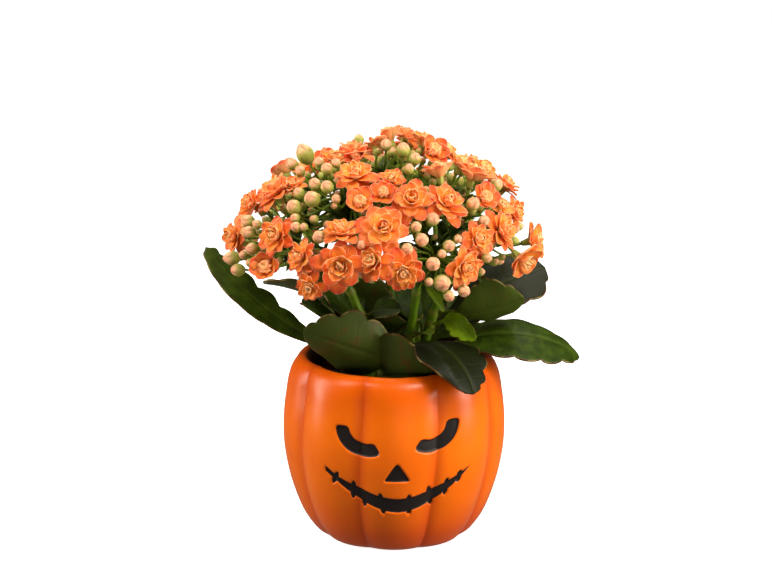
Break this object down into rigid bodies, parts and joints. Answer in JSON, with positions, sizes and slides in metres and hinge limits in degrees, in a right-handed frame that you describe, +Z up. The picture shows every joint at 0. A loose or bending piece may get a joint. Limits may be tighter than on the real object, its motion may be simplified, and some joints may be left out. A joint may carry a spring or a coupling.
{
  "type": "potted kalanchoe",
  "caption": "Flowering kalanchoe with a dome of double orange blooms over thick scalloped leaves, in a grow pot inside a ceramic pumpkin cover pot with a jack-o'-lantern face.",
  "frame": {"origin": "middle of the cover pot's flat underside, on the surface it stands on", "axes": "+Z up through the plant, -Y the way the pot's face looks, +X to the right as seen from the front"},
  "size_m": [0.2019, 0.1646, 0.2214],
  "materials": {
    "glaze": "satin orange glaze with black painted features",
    "plastic": "thin black moulded plastic",
    "soil": "moist peat with bark and fibres",
    "stem": "smooth bright green succulent stem",
    "leaf": "thick dark green leaf with a waxy sheen",
    "stalk": "soft green flower stalks, sepals and peach buds",
    "petal": "soft orange petals, yellower in the middle, with pale rims"
  },
  "bodies": {
    "root": {"bloom_01": "petal", "bloom_02": "petal", "bloom_03": "petal", "bloom_04": "petal", "bloom_05": "petal", "bloom_06": "petal", "bloom_07": "petal", "bloom_08": "petal", "bloom_09": "petal", "bloom_10": "petal", "bloom_11": "petal", "bloom_12": "petal", "bloom_13": "petal", "bloom_14": "petal", "bloom_15": "petal", "bloom_16": "petal", "bloom_17": "petal", "bloom_18": "petal", "bloom_19": "petal", "cover_pot": "glaze", "flower_head_lower_back_left": "stalk", "flower_head_lower_back_right": "stalk", "flower_head_lower_front": "stalk", "flower_head_lower_front_left": "stalk", "flower_head_lower_left": "stalk", "flower_head_lower_right": "stalk", "flower_head_top": "stalk", "flower_head_upper_back_left": "stalk", "flower_head_upper_back_right": "stalk", "flower_head_upper_front": "stalk", "flower_head_upper_front_left": "stalk", "flower_head_upper_left": "stalk", "flower_head_upper_right": "stalk", "grow_pot": "plastic", "leaf_back_left": "leaf", "leaf_back_middle": "leaf", "leaf_back_right": "leaf", "leaf_back_upper": "leaf", "leaf_front_bowl": "leaf", "leaf_front_drooping": "leaf", "leaf_front_low": "leaf", "leaf_inner_back": "leaf", "leaf_inner_left": "leaf", "leaf_inner_middle": "leaf", "leaf_inner_right": "leaf", "leaf_left_back": "leaf", "leaf_left_long": "leaf", "leaf_left_narrow": "leaf", "leaf_right_back": "leaf", "leaf_right_long": "leaf", "leaf_right_upright": "leaf", "leaf_stem_front": "leaf", "potting_soil": "soil", "stem_back_left": "stem", "stem_back_right": "stem", "stem_front": "stem", "stem_front_left": "stem", "stem_left": "stem", "stem_middle": "stem", "stem_right": "stem"}
  },
  "joints": []
}
